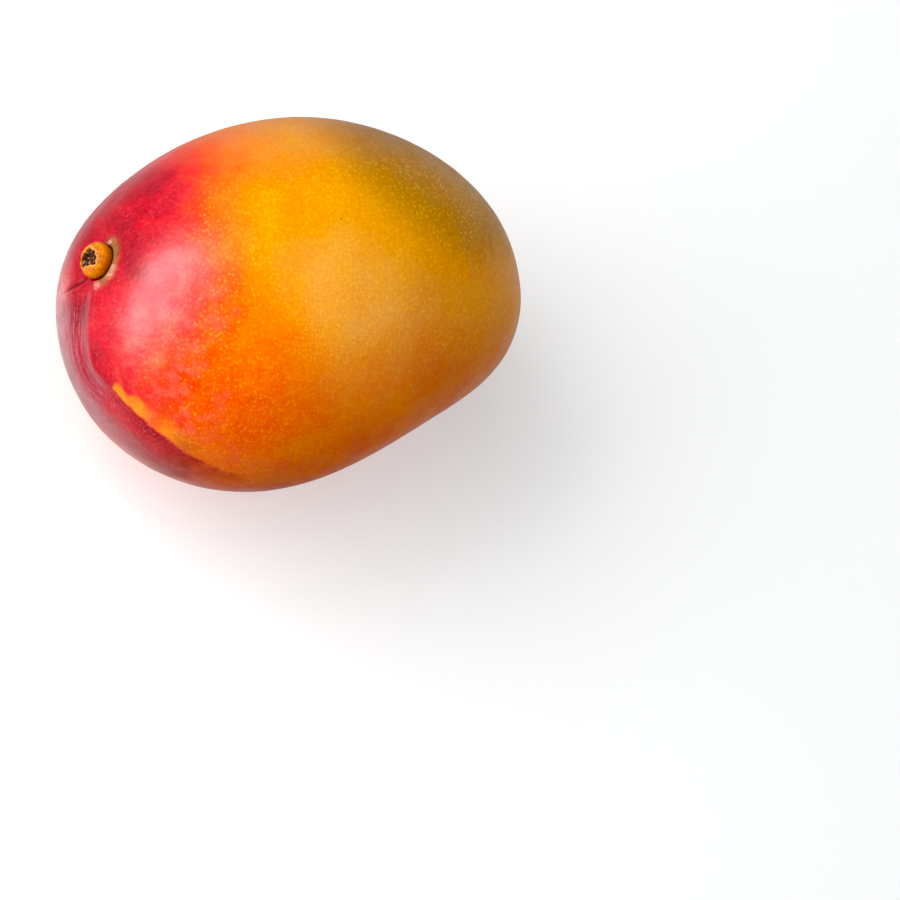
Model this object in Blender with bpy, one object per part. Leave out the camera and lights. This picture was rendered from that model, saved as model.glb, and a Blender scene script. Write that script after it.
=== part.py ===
"""A mango as picked: one whole fruit lying on its cheek, with the short stub of its stalk.

The fruit is shaped in its own axes, with +X towards the beak, +Y towards its back and +Z up
through the cheek. It is then laid down as it comes to rest, the spot that it rests on is
pared flat, and the origin is put on the surface under the middle of the object's box.
"""

from math import cos, exp, pi, radians, sin

import bmesh
import bpy
from mathutils import Euler, Matrix, Vector

# Driving dimensions, in metres. The core is a plain ovoid, and the swellings below bring the
# whole fruit to 131 x 94 x 83 mm.
CORE_LENGTH = 0.1256
CORE_WIDTH = 0.0939
CORE_THICKNESS = 0.0826
FULLNESS = 2.15  # 2 is an ellipsoid, and more is squarer
WIDTH_TAPER = 0.065  # how much the beak end is narrower, and the stalk end wider
THICKNESS_TAPER = 0.07

# Swellings and hollows round the plane of the seed: where, in degrees from the beak end
# towards the back; how high, in metres; and how wide, on a ball of radius 1.
SWELLINGS = (
    (127.5, -0.0046, 0.40),  # the back falls away beside the stalk
    (257, 0.0018, 0.40),  # the belly
    (293, -0.0034, 0.34),  # the sinus, a flat stretch before the beak
    (334, 0.0039, 0.30),  # the beak
    (1, 0.0048, 0.40),  # the blunt end
)
SWELLING_BREADTH = 1.6  # they spread this much wider through the fruit's thickness

STALK_TOWARDS = Vector((-0.94, 0.31, 0.15)).normalized()
STALK_HOLLOW_DEPTH = 0.0022
STALK_HOLLOW_SPREAD = 0.15

# The socket that the stalk grows from, and the stub of the stalk in it.
SOCKET_REACH = 0.12  # its rim, as an angle round the stalk's direction, in radians
SOCKET_RADIUS = 0.0041
SOCKET_DEPTH = 0.0014
STUB_CLEARANCE = 0.0003
STUB_SIDES = 32
STUB_OUTLINE = (  # from the foot to the pit in its end: radius, height
    (0.0037, 0.0000),
    (0.0038, 0.0012),
    (0.0043, 0.0022),
    (0.0045, 0.0032),
    (0.0043, 0.0042),
    (0.0036, 0.0051),
    (0.0028, 0.0056),
    (0.0022, 0.0054),
    (0.0019, 0.0047),
)

# How the fruit lies, in degrees: rolled about its length, then pitched with its stalk end up.
REST_ROLL = 0.76
REST_PITCH = 3.25
FLAT_SPOT_DEPTH = 0.0005

MERIDIANS = 64  # lines of the skin's net, from the stalk to the far end
STATIONS = 36  # rings of the net
STATION_GRADING = 1.25  # above 1, the rings are closest together round the stalk


def seed_plane_direction(bearing):
    """The direction on a bearing, in degrees, from the beak end towards the back."""
    return Vector((cos(radians(bearing)), sin(radians(bearing)), 0))


def bump(offset, height, spread):
    return height * exp(-((offset.length / spread) ** 2) / 2)


def skin_point(toward):
    """The skin's point in a direction from the fruit's middle."""
    reach = sum(abs(part) ** FULLNESS for part in toward) ** (-1 / FULLNESS)
    along, across, through = toward * reach
    point = Vector(
        (
            CORE_LENGTH / 2 * along,
            CORE_WIDTH / 2 * across * (1 - WIDTH_TAPER * along),
            CORE_THICKNESS / 2 * through * (1 - THICKNESS_TAPER * along),
        )
    )
    rise = bump(toward - STALK_TOWARDS, -STALK_HOLLOW_DEPTH, STALK_HOLLOW_SPREAD)
    for bearing, height, spread in SWELLINGS:
        offset = toward - seed_plane_direction(bearing)
        offset.z /= SWELLING_BREADTH
        rise += bump(offset, height, spread)
    outward = Vector(
        (toward.x / CORE_LENGTH, toward.y / CORE_WIDTH, toward.z / CORE_THICKNESS)
    )
    return point + outward.normalized() * rise


def spokes(axis, count):
    """Unit vectors evenly round an axis, each square to it."""
    side = axis.cross(Vector((0, 0, 1))).normalized()
    up = side.cross(axis)
    turns = [2 * pi * i / count for i in range(count)]
    return [side * cos(turn) + up * sin(turn) for turn in turns]


def skin_ring(reach):
    """The skin's points at an angle from the stalk, one on each meridian."""
    return [
        skin_point(STALK_TOWARDS * cos(reach) + spoke * sin(reach))
        for spoke in spokes(STALK_TOWARDS, MERIDIANS)
    ]


def circle(centre, axis, radius, count):
    return [centre + spoke * radius for spoke in spokes(axis, count)]


def stalk_seat():
    """The middle of the socket's rim, and the way the stalk stands out of it."""
    rim = skin_ring(SOCKET_REACH)
    middle = sum(rim, Vector()) / len(rim)
    quarter = MERIDIANS // 4
    level = rim[0] - rim[2 * quarter]
    upright = rim[quarter] - rim[3 * quarter]
    return middle, upright.cross(level).normalized()


def add_ring(mesh, points):
    return [mesh.verts.new(point) for point in points]


def bridge(mesh, first, second):
    """Quads between two rings that have equally many points."""
    for i in range(len(first)):
        j = (i + 1) % len(first)
        mesh.faces.new((first[i], second[i], second[j], first[j]))


def fruit_mesh():
    """The skin, from the floor of the stalk's socket to the far end of the fruit."""
    mesh = bmesh.new()
    middle, axis = stalk_seat()
    floor_centre = middle - axis * SOCKET_DEPTH
    last = add_ring(mesh, circle(floor_centre, axis, SOCKET_RADIUS, MERIDIANS))
    mesh.faces.new(last)
    for station in range(STATIONS):
        share = (station / STATIONS) ** STATION_GRADING
        following = add_ring(mesh, skin_ring(SOCKET_REACH + (pi - SOCKET_REACH) * share))
        bridge(mesh, last, following)
        last = following
    tip = mesh.verts.new(skin_point(-STALK_TOWARDS))
    for i in range(MERIDIANS):
        mesh.faces.new((last[i], tip, last[(i + 1) % MERIDIANS]))
    bmesh.ops.recalc_face_normals(mesh, faces=mesh.faces)
    return mesh


def stub_mesh():
    """The stub, turned about its own axis, with the shallow pit where the stalk broke off."""
    mesh = bmesh.new()
    middle, axis = stalk_seat()
    foot = middle - axis * (SOCKET_DEPTH - STUB_CLEARANCE)
    rings = [
        add_ring(mesh, circle(foot + axis * height, axis, radius, STUB_SIDES))
        for radius, height in STUB_OUTLINE
    ]
    for lower, upper in zip(rings, rings[1:]):
        bridge(mesh, lower, upper)
    mesh.faces.new(rings[0])
    mesh.faces.new(rings[-1])
    bmesh.ops.recalc_face_normals(mesh, faces=mesh.faces)
    return mesh


def pare_flat(mesh, height):
    """Cuts away what is below a height, and closes the cut with one flat face."""
    cut = bmesh.ops.bisect_plane(
        mesh,
        geom=[*mesh.verts, *mesh.edges, *mesh.faces],
        plane_co=(0, 0, height),
        plane_no=(0, 0, -1),
        clear_outer=True,
    )
    edges = [item for item in cut["geom_cut"] if isinstance(item, bmesh.types.BMEdge)]
    bmesh.ops.contextual_create(mesh, geom=edges)


def lay_down(fruit, stub):
    """Turns both as they come to rest, pares the fruit's resting spot and sets the origin."""
    turn = Euler((radians(REST_ROLL), radians(REST_PITCH), 0)).to_matrix()
    for mesh in (fruit, stub):
        bmesh.ops.rotate(mesh, cent=(0, 0, 0), matrix=turn, verts=mesh.verts)
    floor = min(vert.co.z for vert in fruit.verts) + FLAT_SPOT_DEPTH
    pare_flat(fruit, floor)

    points = [vert.co for mesh in (fruit, stub) for vert in mesh.verts]
    middle_x, middle_y = (
        (min(point[axis] for point in points) + max(point[axis] for point in points)) / 2
        for axis in (0, 1)
    )
    home = Matrix.Translation((-middle_x, -middle_y, -floor))
    for mesh in (fruit, stub):
        bmesh.ops.transform(mesh, matrix=home, verts=mesh.verts)


def material(name, colour, roughness):
    made = bpy.data.materials.new(name)
    made.use_nodes = True
    shader = made.node_tree.nodes["Principled BSDF"]
    shader.inputs["Base Color"].default_value = (*colour, 1)
    shader.inputs["Roughness"].default_value = roughness
    shader.inputs["Metallic"].default_value = 0
    return made


def add_object(name, mesh, finish):
    data = bpy.data.meshes.new(name)
    mesh.to_mesh(data)
    mesh.free()
    data.shade_smooth()
    data.set_sharp_from_angle(angle=radians(40))
    data.materials.append(finish)
    bpy.context.scene.collection.objects.link(bpy.data.objects.new(name, data))


def main():
    for old in list(bpy.data.objects):
        bpy.data.objects.remove(old)
    fruit, stub = fruit_mesh(), stub_mesh()
    lay_down(fruit, stub)
    add_object("mango_fruit", fruit, material("ripe_skin", (0.86, 0.30, 0.03), 0.35))
    add_object("stalk_stub", stub, material("dry_stalk", (0.45, 0.21, 0.04), 0.7))


main()
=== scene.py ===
"""The looks of a ripe mango lying on its cheek: its skin, the stub of its stalk, and the studio.

The skin is shaped in the fruit's own axes, with +X towards the beak, +Y towards its back and
+Z up through the cheek, and is then laid down on the surface like the CAD model. Lengths are
in metres, and directions are from the fruit's middle.
"""

from math import cos, pi, radians, sin

import bpy
import numpy as np
from mathutils import Euler, Matrix, Vector, noise


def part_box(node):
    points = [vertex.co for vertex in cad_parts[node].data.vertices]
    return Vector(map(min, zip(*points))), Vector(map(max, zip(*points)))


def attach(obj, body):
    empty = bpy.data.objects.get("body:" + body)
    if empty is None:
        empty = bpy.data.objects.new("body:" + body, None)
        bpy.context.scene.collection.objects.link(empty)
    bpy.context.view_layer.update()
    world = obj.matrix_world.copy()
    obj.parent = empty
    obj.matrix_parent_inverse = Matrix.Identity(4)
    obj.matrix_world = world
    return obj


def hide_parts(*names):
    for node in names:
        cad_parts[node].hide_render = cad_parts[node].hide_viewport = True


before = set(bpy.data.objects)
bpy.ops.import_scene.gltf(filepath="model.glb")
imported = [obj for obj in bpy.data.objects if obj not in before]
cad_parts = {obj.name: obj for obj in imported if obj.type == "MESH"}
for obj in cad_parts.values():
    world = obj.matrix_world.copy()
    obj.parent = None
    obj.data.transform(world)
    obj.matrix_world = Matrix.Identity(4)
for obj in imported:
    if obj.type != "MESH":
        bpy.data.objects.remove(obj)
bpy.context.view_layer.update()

MM = 0.001

# The CAD model's shape: a plain ovoid with swellings and hollows.
CORE = np.array((125.6, 93.9, 82.6)) * MM
FULLNESS = 2.15
WIDTH_TAPER = 0.065
THICKNESS_TAPER = 0.07
SWELLINGS = (  # degrees from the beak end towards the back, height, spread
    (127.5, -4.6 * MM, 0.40),
    (257, 1.8 * MM, 0.40),
    (293, -3.4 * MM, 0.34),
    (334, 3.9 * MM, 0.30),
    (1, 4.8 * MM, 0.40),
)
SWELLING_BREADTH = 1.6
STALK_HOLLOW = (-2.2 * MM, 0.15)  # height, spread
LAID = Euler((radians(0.76), radians(3.25), 0)).to_matrix()
STUB_CLEARANCE = 0.3 * MM
BOX_RINGS = 120  # rings of the net that are measured to find the fruit's place

# The net of meridians that starts round the stalk.
STALK = np.array(Vector((-0.94, 0.31, 0.15)).normalized())
NET_SIDE = np.array(Vector(STALK).cross(Vector((0, 0, 1))).normalized())
NET_UP = np.cross(NET_SIDE, STALK)
NET_STRETCH = 1.17  # keeps the rings near the stalk round
NET_STRETCH_SPREAD = 0.4
MERIDIANS = 512
STATIONS = 186
STATION_GRADING = 1.3
RIM_REACH = 0.0985
SOCKET_WALL = (  # from the rim down: radius, depth
    (4.42 * MM, 0.25 * MM),
    (4.25 * MM, 0.70 * MM),
    (4.10 * MM, 1.40 * MM),
)
LINE_STEPS = 20  # points on a line from each of its stops to the next

# Lines on the skin, each through directions.
CREASE_LINE = ((-0.968, 0.250, 0.075), (-0.975, 0.217, -0.03), (-0.970, 0.198, -0.135))
RIDGE_LINE = (
    (-0.972, 0.193, 0.133),
    (-0.993, 0.019, 0.105),
    (-0.991, -0.100, 0.072),
    (-0.974, -0.212, 0.050),
    (-0.933, -0.333, 0.133),
    (-0.811, -0.542, 0.219),
    (-0.684, -0.687, 0.245),
    (-0.448, -0.853, 0.269),
)

# The relief that the skin has beyond the CAD model's. A stretch is where something begins
# and where it is whole, as distances along a line or away from it.
UNEVENNESS = (  # height, size of the lumps, which noise
    (0.10 * MM, 16 * MM, 0),
    (0.045 * MM, 6 * MM, 3),
)
SOCKET_LIP = (0.25 * MM, 5.2 * MM, 0.5 * MM)  # height, distance from the rim's middle, spread
SETTLE_SOFTNESS = 0.1 * MM
CREASE_OPENS = (0, 1 * MM)
CREASE_CLOSES = (9 * MM, 13 * MM)
CREASE_DEPTH, CREASE_SPREAD = 0.45 * MM, 0.38 * MM
CREASE_LIP_HEIGHT, CREASE_LIP_OFFSET, CREASE_LIP_SPREAD = 0.12 * MM, 1.3 * MM, 0.6 * MM
RIDGE_OPENS = (0, 2.5 * MM)
RIDGE_CLOSES = (20 * MM, 34 * MM)
RIDGE_HEIGHT, RIDGE_SPREAD = 0.28 * MM, 1.1 * MM
VALLEY_DEPTH, VALLEY_OFFSET, VALLEY_SPREAD = 0.60 * MM, 4.5 * MM, 2.4 * MM
WRINKLES_NEAR_RIDGE = (0, 2 * MM)
WRINKLES_FAR_EDGE = (-15 * MM, -9 * MM)
WRINKLE_HEIGHT, WRINKLE_SIZE, WRINKLE_NOISE = 0.06 * MM, 0.9 * MM, 7
LINE_STRETCH = 0.07  # how much slower the noise of the fine lines changes along the ridge

# How red the skin is, by how far a direction lies towards the stalk and towards the belly.
BLUSH_CENTRE = (-0.955, 0.296, 0.0)
BLUSH_ROUND_STALK = (
    (0.20, 0.00),
    (0.35, 0.06),
    (0.50, 0.16),
    (0.58, 0.31),
    (0.66, 0.49),
    (0.73, 0.71),
    (0.80, 0.86),
    (0.90, 0.945),
)
BLUSH_OF_BELLY = ((0.20, 0.00), (0.45, 0.16), (0.60, 0.25), (0.80, 0.33), (1.00, 0.40))
BLUSH_PATCHES = (  # direction, how it fades in from edge to core, how much less clear
    ((-0.74, -0.36, 0.56), 0.78, 0.98, 0.24),
    ((-0.84, 0.53, 0.12), 0.86, 0.99, 0.34),
    ((-0.93, -0.10, 0.35), 0.955, 0.995, -1.3),
    ((-0.58, 0.38, 0.72), 0.95, 0.995, -0.17),
)
UNDERSIDE_BLUSH = 0.45
UNDERSIDE = (-0.30, 0.45)  # how far down a direction points where it begins and is whole

# The skin's other zones. A cap is a direction, and how it fades in from edge to core.
OLIVE_CAP = ((0.57, 0.54, 0.62), 0.70, 1.0)
OCHRE_CAP = ((0.58, -0.26, 0.75), 0.74, 0.97)
CORAL_CAP = ((-0.74, -0.44, 0.42), 0.70, 0.94)
# painted sheen: a pale cast along the edge below the stalk's end, for the floor's reflection
RIM_SHEEN_CAP = ((-0.925, 0.175, -0.330), 0.960, 1.0)
BACK = (0.30, 0.92)  # how far towards the back a direction points, likewise
COLLAR_REACH = (8.2 * MM, 4.8 * MM)
COLLAR_CHEEKWARD = (-0.2, 0.7)  # it shows on the cheek's side of the stalk
SCUFF_AND_GLINT_PLACES = (  # pale scuffs beside the stalk, the last a painted glint on the ridge's crest: direction, spread
    ((-0.934, 0.245, 0.262), 0.034),
    ((-0.893, 0.405, 0.195), 0.019),
    ((-0.972, 0.190, 0.150), 0.024),
)

# The colours of the skin's zones, from clear to red, and of its marks.
BLUSH_COLOURS = (
    (0.00, (0.90, 0.37, 0.001)),
    (0.20, (0.90, 0.235, 0.001)),
    (0.40, (0.86, 0.128, 0.001)),
    (0.60, (0.80, 0.050, 0.003)),
    (0.78, (0.74, 0.018, 0.016)),
    (0.90, (0.51, 0.003, 0.017)),
    (1.00, (0.31, 0.002, 0.014)),
)
OLIVE = (0.40, 0.185, 0.002)
CORAL = (0.88, 0.12, 0.07)
OCHRE_TINT = (0.85, 0.76, 1.0)
# painted shade: the skin darkens towards the back
BACK_PAINTED_SHADE = (0.81, 0.71, 1.0)
# painted shade in the hollow by the stalk, where the dark band starts
HOLLOW_SHADE = (0.18, 0.002, 0.012)
RIDGE_SHADE = (0.30, 0.008, 0.028)
MAROON = (0.48, 0.009, 0.020)
MAROON_END = (0.36, 0.013, 0.012)
DEEP_CRIMSON = (0.34, 0.002, 0.015)
FRECKLE = (0.80, 0.20, 0.19)
# painted sheen on the wrinkled band beside the ridge: a mauve cast and fine pale lines
MAUVE_SHEEN = (0.30, 0.11, 0.13)
STRIATION_SHEEN = (0.66, 0.22, 0.27)
STREAK = (0.92, 0.24, 0.002)
STREAK_END = (0.56, 0.13, 0.004)
# painted shade in the crease by the stalk
CREASE_SHADE = (0.15, 0.001, 0.008)
COLLAR = (0.22, 0.135, 0.034)
# pale scuffs, and a painted glint on the ridge's crest below the stalk
SCUFF_AND_GLINT = (0.78, 0.42, 0.33)
# the colour of the painted sheen on that edge
RIM_SHEEN = (0.66, 0.36, 0.37)
STIPPLE = (0.99, 0.50, 0.014)
LENTICEL = (0.95, 0.36, 0.035)
BLOOM = (0.88, 0.22, 0.20)
SPECK = (0.16, 0.05, 0.01)
MOTTLE_TINT = (0.60, 0.55, 0.65)
GRAIN_TINT = (0.84, 0.62, 0.50)

# The stub's shape. Its end is a torn scar with a raised lip.
STUB_SIDES = 224
STUB_OUTLINE = (  # from the foot to the edge of its end: radius, height, in millimetres
    (3.95, 0.0),
    (4.12, 0.9),
    (4.32, 1.35),
    (4.44, 1.9),
    (4.50, 2.6),
    (4.42, 3.3),
    (4.15, 3.95),
    (3.70, 4.45),
    (3.25, 4.85),
    (2.95, 5.15),
    (2.65, 5.35),
)
OUTLINE_RINGS = 80
END_RINGS = 60
SHOULDER_RINGS = 20  # the outline's last rings, which the scar and its lip reach over
INNERMOST_RADIUS = 0.1 * MM
STUB_LOBES = ((2, 0.030, 0.6), (3, 0.022, 2.1))  # how many, height, turned by
STUB_LOBES_RISE = (0.9 * MM, 2.5 * MM)
SCAR_RADIUS = 2.32  # millimetres
SCAR_LOBES = ((5, 0.14, 1.0), (3, 0.16, 0.4), (11, 0.12, 0))
SCAR_OFFSET = 0.45 * MM
SCAR_STRETCH = 1.2
SCAR_EDGE = (0.22 * MM, -0.18 * MM)
SCAR_DEPTH, SCAR_CRUMB_HEIGHT = 0.75 * MM, 0.40 * MM
SCAR_LIP_HEIGHT, SCAR_LIP_OFFSET, SCAR_LIP_SPREAD = 0.16 * MM, 0.35 * MM, 0.30 * MM
GROOVE_STRETCH = 0.22  # how much slower the stub's noise changes along it
GROOVE_SIZE, GROOVE_NOISE, GROOVE_HEIGHT = 0.85 * MM, 5, 0.085 * MM
GROOVES_RISE = (0.6 * MM, 2.2 * MM)
CRUMB_SIZE, CRUMB_NOISE = 0.55 * MM, 11

STUB_GOLD = (0.66, 0.215, 0.006)
STUB_ORANGE = (0.62, 0.13, 0.003)
# the foot's olive-brown, darkened as painted shade where it goes into the socket
STUB_FOOT_OLIVE_AND_SHADE = (0.19, 0.115, 0.012)
# painted shade in the stub's sunken grooves
STUB_GROOVE_SHADE = (0.30, 0.08, 0.006)
STUB_LIP = (0.66, 0.32, 0.09)
STUB_SCAR = (0.028, 0.009, 0.005)
STUB_FIBRE = (0.30, 0.13, 0.05)
STUB_GRAIN_TINT = (0.6, 0.5, 0.4)


def unit(vectors):
    return vectors / np.linalg.norm(vectors, axis=-1, keepdims=True)


def gaussian(distance, spread):
    return np.exp(-((distance / spread) ** 2) / 2)


def ease(low, high, value):
    """0 on low's side and 1 on high's side, with a smooth change between."""
    share = np.clip((value - low) / (high - low), 0, 1)
    return share * share * (3 - 2 * share)


def perlin(points, size, seed=0.0):
    """Smooth noise between about -1 and 1, whose lumps are that size."""
    offset = Vector((seed, -seed, seed / 2))
    return np.array([noise.noise(Vector(point) / size + offset) for point in points])


def cap(toward, direction, edge, core):
    """1 where a direction lies close to another, and 0 where it lies far from it."""
    return ease(edge, core, toward @ unit(np.array(direction)))


def outward_from(toward):
    return unit(toward / CORE)


def plain_skin(toward):
    """The CAD model's skin, in an array of directions."""
    reach = (np.abs(toward) ** FULLNESS).sum(axis=1) ** (-1 / FULLNESS)
    share = toward * reach[:, None]
    points = share * CORE / 2
    points[:, 1] *= 1 - WIDTH_TAPER * share[:, 0]
    points[:, 2] *= 1 - THICKNESS_TAPER * share[:, 0]
    depth, spread = STALK_HOLLOW
    rise = depth * gaussian(np.linalg.norm(toward - STALK, axis=1), spread)
    for bearing, height, spread in SWELLINGS:
        offset = toward - (cos(radians(bearing)), sin(radians(bearing)), 0)
        offset[:, 2] /= SWELLING_BREADTH
        rise += height * gaussian(np.linalg.norm(offset, axis=1), spread)
    return points + outward_from(toward) * rise[:, None]


def line_on_skin(stops):
    """Points along a smooth line on the plain skin, through the stops' directions."""
    stops = np.array(stops)
    ends = np.concatenate(([2 * stops[0] - stops[1]], stops, [2 * stops[-1] - stops[-2]]))
    share = np.linspace(0, 1, LINE_STEPS, endpoint=False)[:, None]
    toward = []
    for before, start, end, after in zip(ends, ends[1:], ends[2:], ends[3:]):
        linear = (end - before) * share
        square = (2 * before - 5 * start + 4 * end - after) * share**2
        cube = (3 * start - before - 3 * end + after) * share**3
        toward.append(start + (linear + square + cube) / 2)
    toward.append(stops[-1:])
    return plain_skin(unit(np.concatenate(toward)))


def beside_line(points, toward, line):
    """How far each point lies to one side of the line, and how far along it."""
    spans = line[1:] - line[:-1]
    lengths = np.linalg.norm(spans, axis=1)
    starts = np.concatenate(([0], np.cumsum(lengths)))
    nearest = np.full(len(points), np.inf)
    across, along = np.zeros(len(points)), np.zeros(len(points))
    for start, span, length, travelled in zip(line[:-1], spans, lengths, starts):
        share = np.clip((points - start) @ span / length**2, 0, 1)
        offset = points - start - share[:, None] * span
        distance = np.linalg.norm(offset, axis=1)
        side = np.sign((np.cross(toward, span) * offset).sum(axis=1))
        closer = distance < nearest
        nearest[closer] = distance[closer]
        across[closer] = (side * distance)[closer]
        along[closer] = (travelled + share * length)[closer]
    return across, along


def net_ring(reach):
    """Directions at an angle from the stalk, one on each meridian."""
    bearings = np.arange(MERIDIANS) / MERIDIANS * 2 * pi
    stretch = 1 + (NET_STRETCH - 1) * gaussian(reach, NET_STRETCH_SPREAD)
    spokes = np.outer(np.cos(bearings), NET_SIDE) + np.outer(np.sin(bearings), NET_UP) * stretch
    return unit(STALK * cos(reach) + spokes * sin(reach))


def stalk_seat():
    """The middle of the socket's rim, and the stub's axis."""
    rim = plain_skin(net_ring(RIM_REACH))
    quarter = MERIDIANS // 4
    level = rim[0] - rim[2 * quarter]
    upright = rim[quarter] - rim[3 * quarter]
    return rim.mean(axis=0), unit(np.cross(upright, level))


def square_to(axis):
    """Two directions that are square to an axis and to each other."""
    side = unit(np.cross(axis, (0, 0, 1)))
    return side, np.cross(side, axis)


def circle(centre, axis, radius, count):
    side, up = square_to(axis)
    turns = np.arange(count) / count * 2 * pi
    return centre + (np.outer(np.cos(turns), side) + np.outer(np.sin(turns), up)) * radius


def ring_mesh(name, rings, first_tip, last_tip):
    """A closed mesh through rings of equally many points, with a point to close each end."""
    count = len(rings[0])
    points = np.concatenate((*rings, [first_tip], [last_tip]))
    first, last = len(points) - 2, len(points) - 1
    at = np.arange(count)
    beside = (at + 1) % count
    starts = np.arange(len(rings) - 1)[:, None] * count
    quads = np.stack(
        (starts + at, starts + count + at, starts + count + beside, starts + beside), axis=-1
    ).reshape(-1, 4)
    end = (len(rings) - 1) * count
    caps = [(first, i, j) for i, j in zip(at, beside)]
    caps += [(last, end + j, end + i) for i, j in zip(at, beside)]
    mesh = bpy.data.meshes.new(name)
    mesh.from_pydata(points.tolist(), [], quads.tolist() + np.array(caps).tolist())
    mesh.shade_smooth()
    mesh.validate()
    return mesh


def add_attribute(mesh, name, values):
    mesh.attributes.new(name, "FLOAT", "POINT").data.foreach_set("value", values)


def add_piece(name, mesh, material, node):
    mesh.transform(Matrix.Translation(middle_in_frame) @ LAID.to_4x4())
    mesh.materials.append(material)
    piece = bpy.data.objects.new(name, mesh)
    bpy.context.scene.collection.objects.link(piece)
    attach(piece, "root")
    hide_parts(node)


def place_of_middle():
    """Where the fruit's middle lies in the frame, for the plain skin to fill the CAD's box."""
    low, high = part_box("mango_fruit")
    toward = np.concatenate([net_ring(reach) for reach in np.linspace(0, pi, BOX_RINGS)])
    laid = plain_skin(toward) @ np.array(LAID).T
    centre = (Vector(low) + Vector(high)) / 2
    return Vector(
        (
            centre.x - (laid[:, 0].min() + laid[:, 0].max()) / 2,
            centre.y - (laid[:, 1].min() + laid[:, 1].max()) / 2,
            high.z - laid[:, 2].max(),
        )
    )


middle_in_frame = place_of_middle()


def blush_of(toward):
    """How red the skin is in each direction, apart from its mottle."""
    stalkward = toward @ unit(np.array(BLUSH_CENTRE))
    clear = 1 - np.interp(stalkward, *zip(*BLUSH_ROUND_STALK))
    clear *= 1 - np.interp(-toward[:, 1], *zip(*BLUSH_OF_BELLY))
    for centre, edge, core, share in BLUSH_PATCHES:
        clear *= 1 - share * cap(toward, centre, edge, core)
    clear *= 1 - UNDERSIDE_BLUSH * ease(*UNDERSIDE, -toward[:, 2])
    return 1 - clear


def collar_round_stub(points):
    from_stub = points - stalk_seat()[0]
    reach = np.linalg.norm(from_stub, axis=1)
    cheekward = from_stub[:, 2] / np.maximum(reach, MM)
    return ease(*COLLAR_REACH, reach) * ease(*COLLAR_CHEEKWARD, cheekward)


def skin_fields(points, toward):
    """What the skin's finish reads at each point: its zones, and the places of its marks."""
    crease, crease_along = beside_line(points, toward, line_on_skin(CREASE_LINE))
    ridge, ridge_along = beside_line(points, toward, line_on_skin(RIDGE_LINE))
    return {
        "blush": blush_of(toward),
        "olive": cap(toward, *OLIVE_CAP),
        "ochre": cap(toward, *OCHRE_CAP),
        "coral": cap(toward, *CORAL_CAP),
        "back": ease(*BACK, toward[:, 1]),
        "crease": crease,
        "crease_along": crease_along,
        "ridge": ridge,
        "ridge_along": ridge_along,
        "collar": collar_round_stub(points),
        "rim_sheen": cap(toward, *RIM_SHEEN_CAP),
        "scuff_and_glint": sum(
            gaussian(np.linalg.norm(toward - unit(np.array(place)), axis=1), spread)
            for place, spread in SCUFF_AND_GLINT_PLACES
        ),
    }


def skin_rise(points, fields):
    """How far the skin stands proud of the plain shape."""
    rise = sum(height * perlin(points, size, seed) for height, size, seed in UNEVENNESS)

    crease, along = fields["crease"], fields["crease_along"]
    strength = ease(*CREASE_OPENS, along) * (1 - ease(*CREASE_CLOSES, along))
    lip = gaussian(np.abs(crease) - CREASE_LIP_OFFSET, CREASE_LIP_SPREAD)
    rise -= CREASE_DEPTH * strength * gaussian(crease, CREASE_SPREAD)
    rise += CREASE_LIP_HEIGHT * strength * lip

    ridge, along = fields["ridge"], fields["ridge_along"]
    strength = ease(*RIDGE_OPENS, along) * (1 - ease(*RIDGE_CLOSES, along))
    crest = RIDGE_HEIGHT * gaussian(ridge, RIDGE_SPREAD)
    valley = VALLEY_DEPTH * gaussian(ridge + VALLEY_OFFSET, VALLEY_SPREAD)
    rise += strength * (crest - valley)

    lines = np.stack((ridge, along * LINE_STRETCH, ridge * 0), axis=1)
    wrinkled = strength * ease(*WRINKLES_NEAR_RIDGE, -ridge) * ease(*WRINKLES_FAR_EDGE, ridge)
    rise += WRINKLE_HEIGHT * wrinkled * perlin(lines, WRINKLE_SIZE, WRINKLE_NOISE)
    return rise


def settle(points):
    """Flattens what would sink below the surface that the fruit lies on."""
    up = np.array(LAID.transposed() @ Vector((0, 0, 1)))
    height = points @ up + middle_in_frame.z
    settled = (height + np.sqrt(height**2 + SETTLE_SOFTNESS**2)) / 2
    return points + np.outer(settled - height, up)


def build_fruit(material):
    rim_middle, axis = stalk_seat()
    share = (np.arange(STATIONS) / STATIONS) ** STATION_GRADING
    reaches = RIM_REACH + (pi - RIM_REACH) * share
    toward = np.concatenate([net_ring(reach) for reach in reaches] + [[-STALK]])
    points = plain_skin(toward)
    fields = skin_fields(points, toward)
    rise = skin_rise(points, fields)
    height, distance, spread = SOCKET_LIP
    rise += height * gaussian(np.linalg.norm(points - rim_middle, axis=1) - distance, spread)
    points = settle(points + outward_from(toward) * rise[:, None])

    wall = [
        circle(rim_middle - axis * depth, axis, radius, MERIDIANS)
        for radius, depth in reversed(SOCKET_WALL)
    ]
    rings = wall + list(points[:-1].reshape(STATIONS, MERIDIANS, 3))
    floor = rim_middle - axis * SOCKET_WALL[-1][1]
    mesh = ring_mesh("mango_skin", rings, floor, points[-1])
    mesh.flip_normals()  # its rings run away from the stalk, so its faces start out turned in
    for name, values in fields.items():
        inside = np.repeat(values[:MERIDIANS].mean(), len(wall) * MERIDIANS)
        on_net = np.concatenate((inside, values[:-1], values[:1], values[-1:]))
        add_attribute(mesh, name, on_net)
    add_piece("mango_skin", mesh, material, "mango_fruit")


def lobed(radius, lobes, turns):
    """A radius that goes in and out round the stub."""
    for count, height, turned in lobes:
        radius = radius + height * np.cos(count * turns + turned)
    return radius


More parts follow.
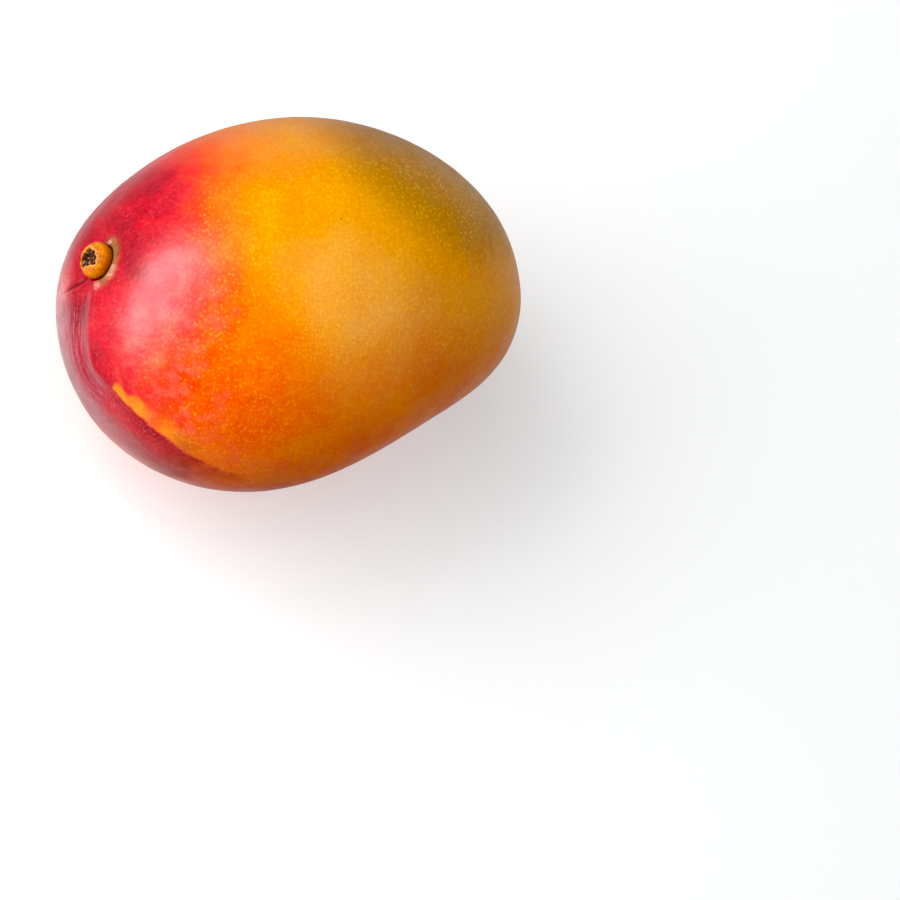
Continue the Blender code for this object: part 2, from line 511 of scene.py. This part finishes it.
def stub_profile(turns):
    """The radius and height of each ring, from the foot to the middle of the stub's end."""
    outline = np.array(STUB_OUTLINE) * MM
    travel = np.concatenate(([0], np.cumsum(np.linalg.norm(np.diff(outline, axis=0), axis=1))))
    steps = np.linspace(0, travel[-1], OUTLINE_RINGS)
    end = np.linspace(outline[-1, 0], INNERMOST_RADIUS, END_RINGS)[1:]
    radii = np.concatenate((np.interp(steps, travel, outline[:, 0]), end))[:, None]
    heights = np.concatenate((np.interp(steps, travel, outline[:, 1]), end * 0 + outline[-1, 1]))
    heights = heights[:, None] + 0 * turns
    uneven = lobed(1, STUB_LOBES, turns) - 1
    return radii * (1 + uneven * ease(*STUB_LOBES_RISE, heights)), heights


def stub_shape():
    """The stub's rings of points, and what its finish reads at each point."""
    turns = np.arange(STUB_SIDES) / STUB_SIDES * 2 * pi
    radii, heights = stub_profile(turns)
    along_side, along_up = radii * np.cos(turns), radii * np.sin(turns)

    past_edge = np.hypot(along_side + SCAR_OFFSET, along_up / SCAR_STRETCH)
    past_edge = past_edge - lobed(SCAR_RADIUS, SCAR_LOBES, turns) * MM
    on_end = np.arange(len(radii))[:, None] >= OUTLINE_RINGS - SHOULDER_RINGS
    scar = ease(*SCAR_EDGE, past_edge) * on_end
    lip = gaussian(past_edge - SCAR_LIP_OFFSET, SCAR_LIP_SPREAD) * on_end

    around = np.stack((along_side, along_up, heights * GROOVE_STRETCH), axis=-1).reshape(-1, 3)
    groove = perlin(around, GROOVE_SIZE, GROOVE_NOISE).reshape(radii.shape)
    crumb = perlin(around, CRUMB_SIZE, CRUMB_NOISE).reshape(radii.shape)
    grooved = ease(*GROOVES_RISE, heights) * (1 - scar)
    radii = radii + GROOVE_HEIGHT * groove * grooved * (1 - on_end)
    heights = heights + lip * SCAR_LIP_HEIGHT * (1 + crumb)
    heights = heights - scar * (SCAR_DEPTH - SCAR_CRUMB_HEIGHT * crumb)
    fields = {"scar": scar, "lip": lip, "groove": groove, "crumb": crumb, "height": heights}
    return radii, heights, turns, fields


def build_stub(material):
    rim_middle, axis = stalk_seat()
    foot = rim_middle - axis * (SOCKET_WALL[-1][1] - STUB_CLEARANCE)
    side, up = square_to(axis)
    radii, heights, turns, fields = stub_shape()
    spokes = np.outer(np.cos(turns), side) + np.outer(np.sin(turns), up)
    rings = [
        foot + height[:, None] * axis + radius[:, None] * spokes
        for radius, height in zip(radii, heights)
    ]
    mesh = ring_mesh("stalk_stub_skin", rings, foot, rings[-1].mean(axis=0))
    for name, values in fields.items():
        on_rings = values.ravel()
        add_attribute(mesh, name, np.concatenate((on_rings, on_rings[:1], on_rings[-1:])))
    add_piece("stalk_stub_skin", mesh, material, "stalk_stub")


# The colour inputs and output of Blender's Mix node come after those for numbers and vectors.
MIX_FIRST, MIX_SECOND, MIX_RESULT = 6, 7, 2


class Shading:
    """The shader nodes of one material. An input is a number, a colour or a node's output."""

    def __init__(self, name):
        self.material = bpy.data.materials.new(name)
        self.material.use_nodes = True
        self.tree = self.material.node_tree
        self.shader = self.tree.nodes["Principled BSDF"]
        self.place = self.add("TexCoord").outputs["Object"]

    def add(self, kind, **settings):
        node = self.tree.nodes.new("ShaderNode" + kind)
        for name, value in settings.items():
            setattr(node, name, value)
        return node

    def feed(self, socket, value):
        if isinstance(value, bpy.types.NodeSocket):
            self.tree.links.new(value, socket)
        elif isinstance(value, tuple) and len(value) == 3 and socket.type == "RGBA":
            socket.default_value = (*value, 1)
        else:
            socket.default_value = value

    def math(self, operation, first, second=0.0):
        node = self.add("Math", operation=operation)
        self.feed(node.inputs[0], first)
        self.feed(node.inputs[1], second)
        return node.outputs[0]

    def plus(self, first, second):
        return self.math("ADD", first, second)

    def times(self, first, *others):
        for other in others:
            first = self.math("MULTIPLY", first, other)
        return first

    def field(self, name):
        return self.add("Attribute", attribute_name=name).outputs["Fac"]

    def rise(self, value, low, high, start=0.0, end=1.0):
        """From start to end, smoothly, as the value goes from low to high."""
        node = self.add("MapRange", interpolation_type="SMOOTHSTEP")
        for number, part in enumerate((value, low, high, start, end)):
            self.feed(node.inputs[number], part)
        return node.outputs[0]

    def noise(self, size, detail=2.0, height=1.0, place=None):
        """Noise about 0, between about -height / 2 and height / 2."""
        node = self.add("TexNoise")
        self.feed(node.inputs["Vector"], place or self.place)
        node.inputs["Scale"].default_value = 1 / size
        node.inputs["Detail"].default_value = detail
        return self.times(self.plus(node.outputs["Fac"], -0.5), height)

    def dots(self, spacing, radius, softness):
        """1 in scattered round dots and 0 between them, and a random number for each dot."""
        node = self.add("TexVoronoi")
        self.feed(node.inputs["Vector"], self.place)
        node.inputs["Scale"].default_value = 1 / spacing
        near, far = (radius - softness) / spacing, (radius + softness) / spacing
        split = self.add("SeparateColor")
        self.feed(split.inputs[0], node.outputs["Color"])
        return self.rise(node.outputs["Distance"], near, far, 1, 0), split.outputs[0]

    def blend(self, share, first, second, **settings):
        node = self.add("Mix", data_type="RGBA", **settings)
        self.feed(node.inputs["Factor"], share)
        self.feed(node.inputs[MIX_FIRST], first)
        self.feed(node.inputs[MIX_SECOND], second)
        return node.outputs[MIX_RESULT]

    def mix(self, share, first, second):
        return self.blend(share, first, second)

    def tint(self, share, colour, by):
        """The colour multiplied by another, as far as the share says."""
        return self.blend(share, colour, by, blend_type="MULTIPLY")

    def ramp(self, value, stops):
        node = self.add("ValToRGB")
        elements = node.color_ramp.elements
        for _ in stops[2:]:
            elements.new(1.0)
        for element, (position, colour) in zip(elements, stops):
            element.position = position
            element.color = (*colour, 1)
        self.feed(node.inputs[0], value)
        return node.outputs[0]

    def bump(self, height, distance):
        node = self.add("Bump")
        node.inputs["Distance"].default_value = distance
        self.feed(node.inputs["Height"], height)
        self.feed(self.shader.inputs["Normal"], node.outputs["Normal"])

    def finish(self, **inputs):
        for name, value in inputs.items():
            self.feed(self.shader.inputs[name.replace("_", " ")], value)
        return self.material


# In the finishes below, a noise is (size, detail) or (size, detail, height), dots are
# (spacing, radius, softness), and a range is (low, high) or (low, high, start, end).
CLOUDS = (14 * MM, 4, 0.26)
MOTTLE = (4.5 * MM, 4, 0.42)
MOTTLE_ON_CLEAR_SKIN = (0.05, 0.5)
MOTTLE_ON_RED_SKIN = (0.6, 0.95, 1, 0.35)
CORAL_NOISE = (4 * MM, 7)
CORAL_PATCHES = (-0.06, 0.16, 0, 0.55)
CORAL_ON_ORANGE = (0.36, 0.58)
CORAL_ON_RED = (0.74, 0.94, 1, 0)
CORAL_IN_CAP, CORAL_ELSEWHERE = 0.93, 0.07
OCHRE_SHARE = 0.8
OLIVE_FADE = (0.05, 0.95)
OLIVE_SHARE = 0.82


def ground(skin):
    """The skin's colour apart from its marks, with painted shade towards the back, and how red it
    is.
    """
    clouds = skin.noise(*CLOUDS)
    blush = skin.plus(skin.field("blush"), clouds)
    reddened = skin.times(
        skin.rise(blush, *MOTTLE_ON_CLEAR_SKIN),
        skin.rise(blush, *MOTTLE_ON_RED_SKIN),
    )
    blush = skin.plus(blush, skin.times(skin.noise(*MOTTLE), reddened))
    colour = skin.ramp(blush, BLUSH_COLOURS)

    patches = skin.rise(skin.noise(*CORAL_NOISE), *CORAL_PATCHES)
    coral = skin.times(
        skin.rise(blush, *CORAL_ON_ORANGE),
        skin.rise(blush, *CORAL_ON_RED),
        skin.plus(skin.times(skin.field("coral"), CORAL_IN_CAP), CORAL_ELSEWHERE),
    )
    colour = skin.mix(skin.times(patches, coral), colour, CORAL)
    colour = skin.tint(skin.times(skin.field("ochre"), OCHRE_SHARE), colour, OCHRE_TINT)
    green = skin.rise(skin.plus(skin.field("olive"), clouds), *OLIVE_FADE)
    colour = skin.mix(skin.times(green, OLIVE_SHARE), colour, OLIVE)
    # Painted shade: the skin is darker towards the back.
    return skin.tint(skin.field("back"), colour, BACK_PAINTED_SHADE), blush


# The dark band on one side of the ridge. Distances across are below 0 on its side.
RIDGE_RAGGED = (1.8 * MM, 3, 1.3 * MM)
BAND_AT_RIDGE = (-1.3 * MM, 0.1 * MM, 1, 0)
BAND_FAR_EDGE = (-30 * MM, -14 * MM)
BAND_START = (1 * MM, 7 * MM)
BAND_END = (50 * MM, 74 * MM, 1, 0)
BAND_END_RAGGED = (8 * MM, 5, 26 * MM)
BAND_SHARE = 0.9
BAND_SHADES = (  # where along the ridge each shade takes over
    ((7 * MM, 15 * MM), RIDGE_SHADE),
    ((20 * MM, 36 * MM), MAROON),
    ((46 * MM, 58 * MM), MAROON_END),
)


def with_dark_band(skin, colour, along, across):
    """The dark skin on one side of the ridge, with painted shade in the hollow by the stalk. The
    second result is how dark it is.
    """
    shade = HOLLOW_SHADE
    for stretch, following in BAND_SHADES:
        shade = skin.mix(skin.rise(along, *stretch), shade, following)
    dark = skin.times(
        skin.rise(across, *BAND_AT_RIDGE),
        skin.rise(across, *BAND_FAR_EDGE),
        skin.rise(along, *BAND_START),
        skin.rise(skin.plus(along, skin.noise(*BAND_END_RAGGED)), *BAND_END),
    )
    return skin.mix(skin.times(dark, BAND_SHARE), colour, shade), dark


CRIMSON_RAGGED = (5 * MM, 3, 6 * MM)
CRIMSON_ACROSS = (-5 * MM, -2 * MM)
CRIMSON_START = (24 * MM, 30 * MM)
CRIMSON_END = (42 * MM, 56 * MM, 0.8, 0)
HAZE_NOISE = (0.7 * MM, 4)
HAZE_FADE = (0.0, 0.16)
HAZE_SHARE = 0.30
FRECKLE_DOTS = (0.65 * MM, 0.15 * MM, 0.14 * MM)
FRECKLE_STRENGTHS = (0.3, 1.0, 0, 0.55)
FRECKLES_START = (20 * MM, 30 * MM)


def with_crimson_edge(skin, colour, along, across, dark):
    """The deeper crimson of the band beside the streak, and the pale freckles of the band."""
    deep = skin.times(
        skin.rise(skin.plus(across, skin.noise(*CRIMSON_RAGGED)), *CRIMSON_ACROSS),
        skin.rise(across, *BAND_AT_RIDGE),
        skin.rise(along, *CRIMSON_START),
        skin.rise(along, *CRIMSON_END),
    )
    colour = skin.mix(deep, colour, DEEP_CRIMSON)
    haze = skin.times(skin.rise(skin.noise(*HAZE_NOISE), *HAZE_FADE), deep, HAZE_SHARE)
    colour = skin.mix(haze, colour, FRECKLE)
    freckles, pick = skin.dots(*FRECKLE_DOTS)
    freckles = skin.times(
        freckles,
        dark,
        skin.rise(pick, *FRECKLE_STRENGTHS),
        skin.rise(along, *FRECKLES_START),
    )
    return skin.mix(freckles, colour, FRECKLE)


# Where the painted sheen lies on the band: fine pale lines by the ridge and a mauve cast further
# off.
LINES_WAVER = (7 * MM, 1, 2.5 * MM)
LINES_NOISE = (0.5 * MM, 4, 1.0)
LINES_FADE = (-0.05, 0.24, 0.0, 0.45)
LINES_AT_RIDGE = (-2.0 * MM, -0.4 * MM, 1, 0)
LINES_FAR_EDGE = (-20 * MM, -13 * MM)
LINES_START = (2 * MM, 9 * MM)
LINES_END = (19 * MM, 34 * MM, 1, 0)
RIM_NEAR_EDGE = (-12 * MM, -5.5 * MM, 0.8, 0)
RIM_FAR_EDGE = (-30 * MM, -15 * MM)
RIM_BETWEEN_LINES = 0.6
RIM_END = (36 * MM, 64 * MM, 1, 0)


def with_painted_sheen(skin, colour, along):
    """Painted sheen on the band: a mauve cast away from the ridge, and fine pale lines along it.
    """
    ridge = skin.field("ridge")
    lines = skin.add("CombineXYZ")
    skin.feed(lines.inputs[0], skin.plus(ridge, skin.noise(*LINES_WAVER)))
    skin.feed(lines.inputs[1], skin.times(along, LINE_STRETCH))
    pale = skin.times(
        skin.rise(skin.noise(*LINES_NOISE, lines.outputs[0]), *LINES_FADE),
        skin.rise(ridge, *LINES_AT_RIDGE),
        skin.rise(ridge, *LINES_FAR_EDGE),
    )
    rim = skin.times(
        skin.rise(ridge, *RIM_NEAR_EDGE),
        skin.rise(ridge, *RIM_FAR_EDGE),
        skin.plus(pale, RIM_BETWEEN_LINES),
        skin.rise(along, *LINES_START),
        skin.rise(along, *RIM_END),
    )
    colour = skin.mix(rim, colour, MAUVE_SHEEN)
    shown = skin.times(skin.rise(along, *LINES_START), skin.rise(along, *LINES_END))
    return skin.mix(skin.times(pale, shown), colour, STRIATION_SHEEN)


STREAK_WIDENS = (28 * MM, 44 * MM, 3.0 * MM, 5.4 * MM)
STREAK_RAGGED = (3.0 * MM, 5, 5.5 * MM)
STREAK_FAR_EDGE = (0.25, 1.3, 1, 0)  # in widths of the streak
STREAK_AT_RIDGE = (-0.5 * MM, 0.3 * MM)
STREAK_START = (27.0 * MM, 28.2 * MM)
STREAK_WAIST = 40.5 * MM
STREAK_WAIST_FADE = (0, 4.0 * MM, 0.25, 1)
STREAK_FADES = (44 * MM, 60 * MM, 0.97, 0)
STREAK_DULLS = (42 * MM, 52 * MM)


def with_streak(skin, colour, along, across):
    """The bright streak beyond the ridge, which is fainter at its waist."""
    width = skin.rise(along, *STREAK_WIDENS)
    beyond = skin.plus(skin.field("ridge"), skin.noise(*STREAK_RAGGED))
    from_waist = skin.math("ABSOLUTE", skin.plus(along, -STREAK_WAIST))
    inside = skin.times(
        skin.rise(skin.math("DIVIDE", beyond, width), *STREAK_FAR_EDGE),
        skin.rise(across, *STREAK_AT_RIDGE),
        skin.rise(along, *STREAK_START),
        skin.rise(from_waist, *STREAK_WAIST_FADE),
        skin.rise(along, *STREAK_FADES),
    )
    streak = skin.mix(skin.rise(along, *STREAK_DULLS), STREAK, STREAK_END)
    return skin.mix(inside, colour, streak)


def with_ridge(skin, colour):
    """The marks along the ridge. The second result is how dark they make the skin."""
    along = skin.field("ridge_along")
    across = skin.plus(skin.field("ridge"), skin.noise(*RIDGE_RAGGED))
    colour, dark = with_dark_band(skin, colour, along, across)
    colour = with_crimson_edge(skin, colour, along, across, dark)
    colour = with_painted_sheen(skin, colour, along)
    return with_streak(skin, colour, along, across), dark


COLLAR_COARSE = (2.2 * MM, 5, 1.8)
COLLAR_FINE = (0.5 * MM, 3, 0.9)
SCUFF_AND_GLINT_RAGGED = (0.7 * MM, 4, 3.0)
SCUFF_AND_GLINT_FADE = (0.15, 1.2)
SCUFF_AND_GLINT_SHARE = 0.45
RIM_SHEEN_COARSE = (7 * MM, 4, 4.0)
RIM_SHEEN_FADE = (-1.2, 1.2, 0.05, 0.50)
CREASE_ACROSS = (0.15 * MM, 0.65 * MM, 0.9, 0)
CREASE_END = (8 * MM, 13 * MM, 1, 0)
CREASE_START = (0, 0.5 * MM)


def with_stalk_marks(skin, colour):
    """The greenish collar, pale scuffs and a painted glint, a painted sheen on the edge, and
    painted shade in the crease by the stalk.
    """
    ragged = skin.plus(skin.noise(*COLLAR_COARSE), skin.noise(*COLLAR_FINE))
    collar = skin.times(skin.field("collar"), skin.plus(ragged, 1.0))
    colour = skin.mix(collar, colour, COLLAR)

    # Pale scuffs, and one painted glint on the ridge's crest below the stalk.
    fine = skin.noise(*SCUFF_AND_GLINT_RAGGED)
    scuff_and_glint = skin.rise(skin.times(skin.field("scuff_and_glint"), skin.plus(fine, 1.0)), *SCUFF_AND_GLINT_FADE)
    colour = skin.mix(skin.times(scuff_and_glint, SCUFF_AND_GLINT_SHARE), colour, SCUFF_AND_GLINT)
    # Painted sheen: a pale, uneven cast along the edge below the stalk's end.
    uneven = skin.plus(fine, skin.noise(*RIM_SHEEN_COARSE))
    rim_sheen = skin.times(skin.field("rim_sheen"), skin.rise(uneven, *RIM_SHEEN_FADE))
    colour = skin.mix(rim_sheen, colour, RIM_SHEEN)

    # Painted shade in the crease by the stalk.
    along = skin.field("crease_along")
    dark = skin.times(
        skin.rise(skin.math("ABSOLUTE", skin.field("crease")), *CREASE_ACROSS),
        skin.rise(along, *CREASE_END),
        skin.rise(along, *CREASE_START),
    )
    return skin.mix(dark, colour, CREASE_SHADE)


DOTS_ON_BACK = (0.2, 0.9, 1, 0.3)
STIPPLE_DOTS = (0.95 * MM, 0.34 * MM, 0.16 * MM)
STIPPLE_STRENGTHS = (0, 1, 0.15, 0.75)
STIPPLE_ON_YELLOW = (0.05, 0.35, 1, 0.5)
STIPPLE_ON_RED = (0.45, 0.85, 1, 0)
STIPPLE_SHARE = 0.8
DARK_MOTTLE_NOISE = (1.1 * MM, 4)
DARK_MOTTLE_FADE = (-0.14, 0.10, 0.42, 0)
DARK_MOTTLE_ON_RED = (0.55, 0.85)
BLOOM_ON_RED = (0.45, 0.80, 0, 0.06)
BLOOM_NOISE = (0.75 * MM, 4)
BLOOM_FADE = (-0.02, 0.16)
GRAIN_NOISE = (0.8 * MM, 2)
GRAIN_FADE = (-0.16, 0.10, 0.42, 0)
LENTICEL_DOTS = (1.5 * MM, 0.24 * MM, 0.12 * MM)
LENTICEL_STRENGTHS = (0.2, 1.0, 0.10, 0.85)
LENTICELS_ON_CLEAR_SKIN = (0.0, 0.4, 0.3, 0.8)
LENTICELS_ON_RED = (0.5, 0.85, 1, 0.16)
SPECK_DOTS = (15 * MM, 0.30 * MM, 0.10 * MM)
SPECK_SHARE = 0.7


def with_dots(skin, colour, blush):
    """The skin's fine stipple, mottle and grain, its pale lenticels and a few dark specks.

    The second result is where the stipple and the lenticels are.
    """
    plain = skin.rise(skin.field("back"), *DOTS_ON_BACK)
    stipple, pick = skin.dots(*STIPPLE_DOTS)
    stipple = skin.times(stipple, plain, skin.rise(pick, *STIPPLE_STRENGTHS))
    yellow = skin.times(skin.rise(blush, *STIPPLE_ON_YELLOW), skin.rise(blush, *STIPPLE_ON_RED))
    colour = skin.mix(skin.times(stipple, skin.times(yellow, STIPPLE_SHARE)), colour, STIPPLE)

    mottle = skin.rise(skin.noise(*DARK_MOTTLE_NOISE), *DARK_MOTTLE_FADE)
    mottle = skin.times(mottle, skin.rise(blush, *DARK_MOTTLE_ON_RED))
    colour = skin.tint(mottle, colour, MOTTLE_TINT)
    red = skin.rise(blush, *BLOOM_ON_RED)
    colour = skin.mix(skin.times(stipple, red), colour, BLOOM)
    haze = skin.rise(skin.noise(*BLOOM_NOISE), *BLOOM_FADE)
    colour = skin.mix(skin.times(haze, red), colour, BLOOM)
    colour = skin.tint(skin.rise(skin.noise(*GRAIN_NOISE), *GRAIN_FADE), colour, GRAIN_TINT)

    pale, pick = skin.dots(*LENTICEL_DOTS)
    pale = skin.times(pale, plain, skin.rise(pick, *LENTICEL_STRENGTHS))
    shown = skin.times(
        skin.rise(blush, *LENTICELS_ON_CLEAR_SKIN),
        skin.rise(blush, *LENTICELS_ON_RED),
    )
    colour = skin.mix(skin.times(pale, shown), colour, LENTICEL)
    speck, _ = skin.dots(*SPECK_DOTS)
    return skin.mix(skin.times(speck, SPECK_SHARE), colour, SPECK), skin.plus(stipple, pale)


BUMP_NOISE = (1.4 * MM, 3)
BUMP_OF_DOTS = 0.25
BUMP_HEIGHT = 0.11 * MM
WAX_NOISE = (8 * MM, 5)
WAX_FADE = (-0.18, 0.18, 0.25, 0.75)
ROUGHNESS_NOISE = (3 * MM, 4, 0.16)
ROUGHNESS = 0.37


def skin_material():
    skin = Shading("mango_skin")
    colour, blush = ground(skin)
    colour, dark = with_ridge(skin, colour)
    blush = skin.math("MAXIMUM", blush, dark)
    colour = with_stalk_marks(skin, colour)
    colour, dots = with_dots(skin, colour, blush)
    height = skin.plus(skin.noise(*BUMP_NOISE), skin.times(dots, BUMP_OF_DOTS))
    skin.bump(height, BUMP_HEIGHT)
    return skin.finish(
        Base_Color=colour,
        Roughness=skin.plus(skin.noise(*ROUGHNESS_NOISE), ROUGHNESS),
        Specular_IOR_Level=0.36,
        Coat_Weight=skin.rise(skin.noise(*WAX_NOISE), *WAX_FADE),
        Coat_Roughness=0.30,
    )


STUB_PATCH_NOISE = (2.6 * MM, 3)
STUB_PATCH_FADE = (-0.12, 0.12)
STUB_FOOT_RAGGED = (2.0 * MM, 2, 2.0 * MM)
STUB_FOOT_FADE = (0.5 * MM, 2.8 * MM, 0.85, 0)
STUB_GROOVE_FADE = (-0.45, 0.05, 0.40, 0)
STUB_LIP_FADE = (-0.4, 0.3, 0.1, 0.8)
STUB_FIBRE_FADE = (0.0, 0.55, 0, 0.85)
STUB_GRAIN_NOISE = (0.35 * MM, 2)
STUB_GRAIN_FADE = (-0.12, 0.10, 0.4, 0)
STUB_GRAIN_HEIGHT = 0.08 * MM


def stub_material():
    stub = Shading("dry_stalk")
    patches = stub.rise(stub.noise(*STUB_PATCH_NOISE), *STUB_PATCH_FADE)
    colour = stub.mix(patches, STUB_GOLD, STUB_ORANGE)
    # The stub's olive-brown foot, darkened as painted shade where it goes into the socket.
    height = stub.plus(stub.field("height"), stub.noise(*STUB_FOOT_RAGGED))
    colour = stub.mix(stub.rise(height, *STUB_FOOT_FADE), colour, STUB_FOOT_OLIVE_AND_SHADE)
    # Painted shade in the stub's sunken grooves.
    groove = stub.rise(stub.field("groove"), *STUB_GROOVE_FADE)
    colour = stub.mix(groove, colour, STUB_GROOVE_SHADE)
    crumb = stub.field("crumb")
    lip = stub.times(stub.field("lip"), stub.rise(crumb, *STUB_LIP_FADE))
    colour = stub.mix(lip, colour, STUB_LIP)
    scar = stub.mix(stub.rise(crumb, *STUB_FIBRE_FADE), STUB_SCAR, STUB_FIBRE)
    colour = stub.mix(stub.field("scar"), colour, scar)
    grain = stub.noise(*STUB_GRAIN_NOISE)
    colour = stub.tint(stub.rise(grain, *STUB_GRAIN_FADE), colour, STUB_GRAIN_TINT)
    stub.bump(grain, STUB_GRAIN_HEIGHT)
    return stub.finish(Base_Color=colour, Roughness=0.55, Specular_IOR_Level=0.22)


# The camera looks down on the fruit, from the stalk's side.
VIEW_TILT = radians(38)
VIEW_ROLL = radians(10.45)
VIEW_DISTANCE = 0.7695
VIEW_AIM = (0.04205, -0.03906)  # how far right of and above the fruit's middle it aims
LENS = 120  # millimetres


def camera_axes():
    """The camera's right, up and back, in the frame."""
    right = Vector((cos(VIEW_TILT), 0, sin(VIEW_TILT)))
    up = Vector((0, 1, 0))
    back = Vector((-sin(VIEW_TILT), 0, cos(VIEW_TILT)))
    rolled_right = right * cos(VIEW_ROLL) - up * sin(VIEW_ROLL)
    rolled_up = right * sin(VIEW_ROLL) + up * cos(VIEW_ROLL)
    return LAID @ rolled_right, LAID @ rolled_up, LAID @ back


def add_camera():
    right, up, back = camera_axes()
    data = bpy.data.cameras.new("camera")
    data.lens = LENS
    camera = bpy.data.objects.new("camera", data)
    bpy.context.scene.collection.objects.link(camera)
    place = middle_in_frame + right * VIEW_AIM[0] + up * VIEW_AIM[1] + back * VIEW_DISTANCE
    turn = Matrix((right, up, back)).transposed()
    camera.matrix_world = Matrix.Translation(place) @ turn.to_4x4()
    bpy.context.scene.camera = camera


ROOM_GLOW = 0.05
ROOM_GLOWS = (  # what the skin mirrors of the pale floor and walls: direction, spread, brightness
    ((-0.10, 0.00, -0.99), 0.28, 0.80),
    ((0.20, 0.97, 0.05), 0.22, 0.22),
    ((0.75, 0.35, -0.55), 0.50, 0.35),
)
SOFTBOXES = (  # name, direction, turn, distance, width, height, brightness, mirrored
    ("key_light", (-0.90, 0.30, 0.38), -0.72, 1.0, 1.36, 0.50, 6.5, True),
    ("key_surround", (-0.84, 0.37, 0.48), -0.72, 1.02, 1.6, 1.0, 1.0, True),
    ("side_light", (-0.76, 0.36, 0.54), -0.72, 1.04, 1.7, 1.2, 1.04, False),
    ("top_light", (0.49, 0.02, 0.87), 0.3, 1.0, 0.84, 0.56, 1.10, True),
    ("fill_light", (0.72, -0.50, 0.48), 0.0, 1.6, 1.6, 1.2, 1.55, False),
)
FLOOR_REACH = 4
FLOOR_COLOUR = (0.82, 0.84, 0.84, 1)
FLOOR_ROUGHNESS = 0.6
FLOOR_GLOW = 0.26
WHITE = (1, 1, 1, 1)
BLACK_LEVEL = 0.020  # the camera's contrast: what is no brighter than this shows as black


def add_softbox(name, toward, turn, distance, width, height, brightness, mirrored):
    """A light of that width and height, facing the fruit from a direction and turned about it.

    The skin mirrors it only if mirrored is true.
    """
    toward = Vector(toward).normalized()
    data = bpy.data.lights.new(name, "AREA")
    data.shape = "RECTANGLE"
    data.size = width
    data.size_y = height
    data.energy = brightness * pi * width * height
    light = bpy.data.objects.new(name, data)
    bpy.context.scene.collection.objects.link(light)
    light.visible_glossy = mirrored
    light.location = middle_in_frame + toward * distance
    level = toward.to_track_quat("Z", "Y").to_matrix()
    light.rotation_euler = (level @ Matrix.Rotation(turn, 3, "Z")).to_euler()


def add_room():
    """A dim room, with a broad glow in some directions."""
    world = bpy.data.worlds.new("studio")
    world.use_nodes = True
    nodes = world.node_tree.nodes
    links = world.node_tree.links
    toward = nodes.new("ShaderNodeTexCoord").outputs["Generated"]
    total = nodes.new("ShaderNodeValue").outputs[0]
    total.default_value = ROOM_GLOW
    for direction, spread, brightness in ROOM_GLOWS:
        facing = nodes.new("ShaderNodeVectorMath")
        facing.operation = "DOT_PRODUCT"
        facing.inputs[1].default_value = Vector(direction).normalized()
        links.new(toward, facing.inputs[0])
        glow = nodes.new("ShaderNodeMapRange")
        glow.interpolation_type = "SMOOTHSTEP"
        glow.inputs["From Min"].default_value = 1 - spread
        glow.inputs["To Max"].default_value = brightness
        links.new(facing.outputs["Value"], glow.inputs["Value"])
        both = nodes.new("ShaderNodeMath")
        links.new(total, both.inputs[0])
        links.new(glow.outputs["Result"], both.inputs[1])
        total = both.outputs[0]
    background = nodes["Background"]
    background.inputs["Color"].default_value = WHITE
    links.new(total, background.inputs["Strength"])
    bpy.context.scene.world = world


def floor_material():
    """White and lit a little from below, like a light table."""
    material = bpy.data.materials.new("pale_floor")
    material.use_nodes = True
    inputs = material.node_tree.nodes["Principled BSDF"].inputs
    inputs["Base Color"].default_value = FLOOR_COLOUR
    inputs["Roughness"].default_value = FLOOR_ROUGHNESS
    inputs["Emission Color"].default_value = WHITE
    inputs["Emission Strength"].default_value = FLOOR_GLOW
    return material


def add_floor():
    data = bpy.data.meshes.new("floor")
    ends = ((-1, -1), (1, -1), (1, 1), (-1, 1))
    data.from_pydata([(FLOOR_REACH * x, FLOOR_REACH * y, 0) for x, y in ends], [], [(0, 1, 2, 3)])
    data.materials.append(floor_material())
    floor = bpy.data.objects.new("floor", data)
    bpy.context.scene.collection.objects.link(floor)
    floor.visible_glossy = False


def set_view():
    view = bpy.context.scene.view_settings
    view.view_transform = "Standard"
    view.use_curve_mapping = True
    view.curve_mapping.black_level = (BLACK_LEVEL,) * 3


build_fruit(skin_material())
build_stub(stub_material())
add_camera()
set_view()
add_room()
for softbox in SOFTBOXES:
    add_softbox(*softbox)
add_floor()
